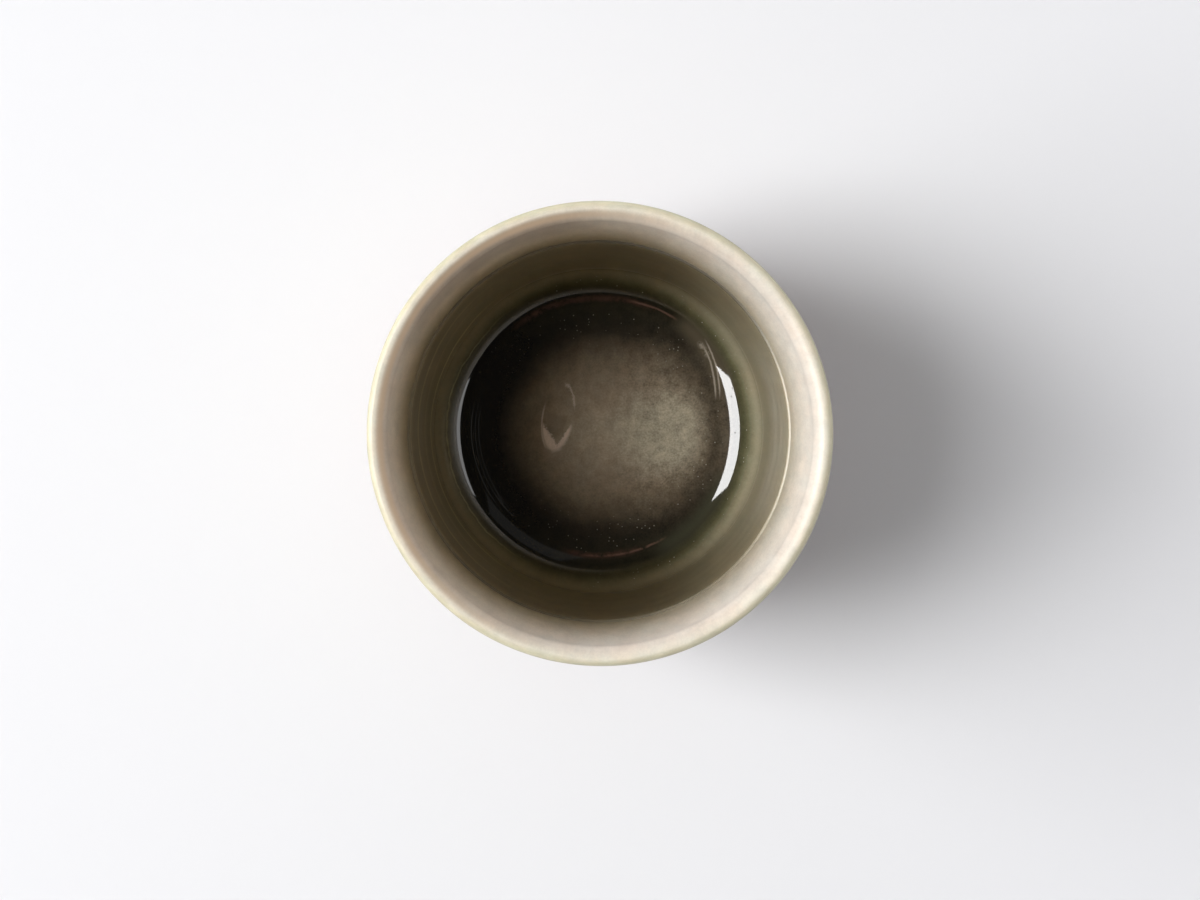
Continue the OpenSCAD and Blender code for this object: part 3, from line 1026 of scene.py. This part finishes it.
inner = turn_piece("glaze_lining", inner_glaze_path(), DARK_GLAZE, ring=inside_rings, bead=floor_bead,
                   lean=corner_lean, **{"Ring Pitch": INSIDE_PITCH, "Ring Depth": INSIDE_RING_DEPTH,
                                        "Bead Rise": BEAD_RISE, "Corner Lean": CORNER_LEAN})
rim = turn_piece("glaze_lip", rim_glaze_path(), PALE_GLAZE, S_JOIN,
                 ring=outside_rings, **{"Ring Depth": RING_DEPTH})
outer = turn_piece("glaze_outside", outer_glaze_path(), OUTSIDE_GLAZE, S_OUT_JOIN, ring=outside_rings,
                   drift=drips, **{"Ring Depth": RING_DEPTH, "Edge Drift": EDGE_DRIFT})
clay = turn_piece("thrown_clay", clay_path(), CLAY, ring=turning_rings,
                  **{"Ring Pitch": TURNING_PITCH, "Ring Depth": TURNING_DEPTH})
foot = turn_piece("turned_foot", foot_path(), FOOT_CLAY, ring=turning_rings,
                  **{"Ring Pitch": TURNING_PITCH, "Ring Depth": FOOT_TURNING_DEPTH, "Hand Depth": 0.0})
slip = turn_piece("slip_bead", slip_path(), SLIP)

for piece, node, slot in ((inner, "inner_glaze", "dark_glaze"), (rim, "rim_glaze", "pale_glaze"),
                          (outer, "outer_glaze", "outside_glaze"), (clay, "clay_body", "clay"),
                          (foot, "foot_ring", "foot_clay"), (slip, "luting_slip", "slip")):
    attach(piece, "root")
    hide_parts(node)

# Camera: it looks straight down from a place a little off the cup's axis. Places in the picture are
# in pixels of a picture 1200 wide and 900 high.
IMAGE_W, IMAGE_H = 1200, 900
LIP_PX = np.array((600, 433.5))
LIP_R_PX = 233.5
SENSOR = 36.0
CAMERA_OVER_LIP = 500 * MM
CAMERA_OFF_AXIS = np.array((-2.5, 6.1)) * MM
PX_PER_SLOPE = LIP_R_PX * CAMERA_OVER_LIP / LIP_R
lens = bpy.data.cameras.new("camera")
lens.sensor_width = SENSOR
lens.lens = SENSOR * PX_PER_SLOPE / IMAGE_W
lip_seen = -CAMERA_OFF_AXIS * PX_PER_SLOPE / CAMERA_OVER_LIP
lip_wanted = (LIP_PX - (IMAGE_W / 2, IMAGE_H / 2)) * (1, -1)
lens.shift_x, lens.shift_y = (lip_seen - lip_wanted) / IMAGE_W
camera = bpy.data.objects.new("camera", lens)
camera.location = (*CAMERA_OFF_AXIS, CUP_H + CAMERA_OVER_LIP)
bpy.context.scene.collection.objects.link(camera)
bpy.context.scene.camera = camera


def panel(name, azimuth, elevation, distance, width, height, brightness):
    """A flat lamp that faces the cup, with its width level. Brightness 1 looks white."""
    light = bpy.data.lights.new(name, "AREA")
    light.shape = "RECTANGLE"
    light.size = width
    light.size_y = height
    light.energy = brightness * math.pi * width * height
    lamp = bpy.data.objects.new(name, light)
    az, el = math.radians(azimuth), math.radians(elevation)
    away = np.array((math.cos(az) * math.cos(el), math.sin(az) * math.cos(el), math.sin(el)))
    lamp.location = distance * away + (0, 0, CUP_H / 2)
    lamp.rotation_euler = (math.pi / 2 - el, 0, az + math.pi / 2)
    lamp.visible_camera = False
    bpy.context.scene.collection.objects.link(lamp)
    return lamp


# Each lamp's angle about the axis and over the table, its distance, width and height, and its brightness
LAMPS = {
    "high_key": (177, 60.2, 3.0, 0.95, 1.36, 11.8),
    "low_key": (177, 27.5, 3.0, 2.2, 2.12, 4.05),
    "window": (180, 53.7, 3.0, 1.56, 1.2, 16.8),
    "strip": (1.0, 51.2, 0.8, 0.47, 0.105, 3.2),
    "lower_arc": (55, 63.5, 0.8, 0.28, 0.21, 0.14),
    "inner_arc": (8, 77, 0.8, 0.16, 0.06, 0.4),
}
# These only light, or only show as reflections in the glaze
UNREFLECTED = ("high_key",)
ONLY_REFLECTED = ("window", "strip", "lower_arc", "inner_arc")
for name, values in LAMPS.items():
    lamp = panel(name, *values)
    lamp.visible_glossy = name not in UNREFLECTED
    lamp.visible_diffuse = name not in ONLY_REFLECTED

# The sky is bright towards the horizon and below, brighter on one side, and dark overhead
SKY_STOPS = ((0.25, (0.97, 0.965, 1, 1)), (0.50, (0.02, 0.02, 0.02, 1)))
SKY_STRENGTH = 1.95
SKY_SIDE_STRENGTH = 0.6
SKY_TURN = math.radians(100)
world = bpy.data.worlds.new("studio")
bpy.context.scene.world = world
world.use_nodes = True
sky = world.node_tree
sky.nodes.clear()
look = add(sky, "ShaderNodeTexCoord").outputs["Generated"]
sky_tone = add(sky, "ShaderNodeValToRGB", {"Fac": split(sky, look)["Z"]})
for stop, (position, tone) in zip(sky_tone.color_ramp.elements, SKY_STOPS):
    stop.position = position
    stop.color = tone
bright_side = dot(sky, look, (math.cos(SKY_TURN), math.sin(SKY_TURN), 0))
strength = calc(sky, "MULTIPLY_ADD", bright_side, SKY_SIDE_STRENGTH, SKY_STRENGTH)
glow = add(sky, "ShaderNodeBackground", {"Color": sky_tone.outputs["Color"], "Strength": strength})
add(sky, "ShaderNodeOutputWorld", {"Surface": glow.outputs[0]})

TABLE_HALF = 6.0
TABLE_TONE = (0.875, 0.877, 0.895, 1)
table_mesh = bpy.data.meshes.new("table")
table_mesh.from_pydata([(-TABLE_HALF, -TABLE_HALF, 0), (TABLE_HALF, -TABLE_HALF, 0),
                        (TABLE_HALF, TABLE_HALF, 0), (-TABLE_HALF, TABLE_HALF, 0)], [], [(0, 1, 2, 3)])
table = bpy.data.objects.new("table", table_mesh)
bpy.context.scene.collection.objects.link(table)
white, white_tree = material("white_table")
finish_material(white_tree, {"Base Color": TABLE_TONE, "Roughness": 0.6})
table_mesh.materials.append(white)

bpy.context.scene.view_settings.view_transform = "Standard"
